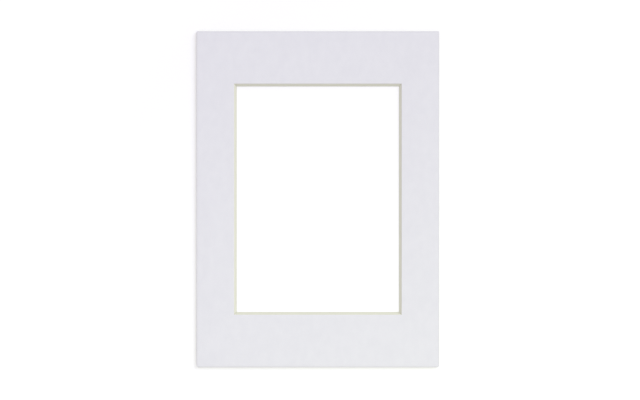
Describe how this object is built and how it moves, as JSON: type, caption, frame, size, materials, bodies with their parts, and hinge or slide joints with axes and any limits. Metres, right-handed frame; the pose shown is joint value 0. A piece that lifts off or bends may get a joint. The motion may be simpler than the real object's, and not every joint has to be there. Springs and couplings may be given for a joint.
{
  "type": "picture mount",
  "caption": "Flat rectangular sheet of white mountboard with a bevel-cut window that borders a small photograph inside a frame and shows a cream core.",
  "frame": {"origin": "middle of the back face, which lies on the table", "axes": "+X across the page to the right, +Y up the page along the long side, +Z out of the white face"},
  "size_m": [0.13, 0.18, 0.0015],
  "materials": {
    "mountboard": "matte"
  },
  "bodies": {
    "root": {"mount_board": "mountboard"}
  },
  "joints": []
}
